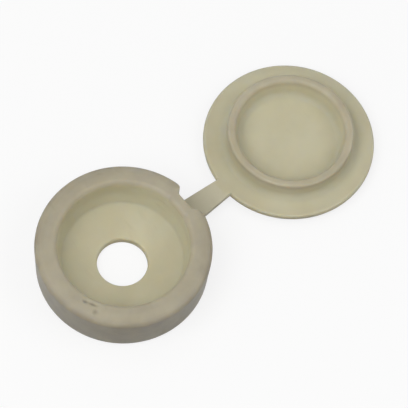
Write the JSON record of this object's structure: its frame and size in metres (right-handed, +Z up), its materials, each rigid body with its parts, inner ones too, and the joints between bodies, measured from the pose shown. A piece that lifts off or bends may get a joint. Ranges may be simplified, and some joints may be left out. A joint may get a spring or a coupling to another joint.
{
  "type": "hinged screw cover cap",
  "caption": "Ivory plastic screw cover cap lying open: a dished cup with a screw hole, a thin strap, and a domed lid whose ring plugs the cup.",
  "frame": {"origin": "centre of the screw hole on the cup's flat underside", "axes": "+X along the strap from the cup to the lid, +Z up along the screw hole, out of the cup's mouth"},
  "size_m": [0.0325, 0.0144, 0.0044],
  "materials": {
    "cap_plastic": "moulded ivory polypropylene, satin"
  },
  "bodies": {
    "base": {"base_cup": "cap_plastic"},
    "strap": {"hinge_strap": "cap_plastic"},
    "lid": {"lid": "cap_plastic"}
  },
  "joints": [
    {"name": "strap_fold", "type": "hinge", "parent": "base", "child": "strap", "pos_m": [0.00743, 0, 0.0012], "axis": [0, -1, 0], "range_deg": [0, 90]},
    {"name": "lid_fold", "type": "hinge", "parent": "strap", "child": "lid", "pos_m": [0.01063, 0, 0.0012], "axis": [0, -1, 0], "range_deg": [0, 90]}
  ]
}
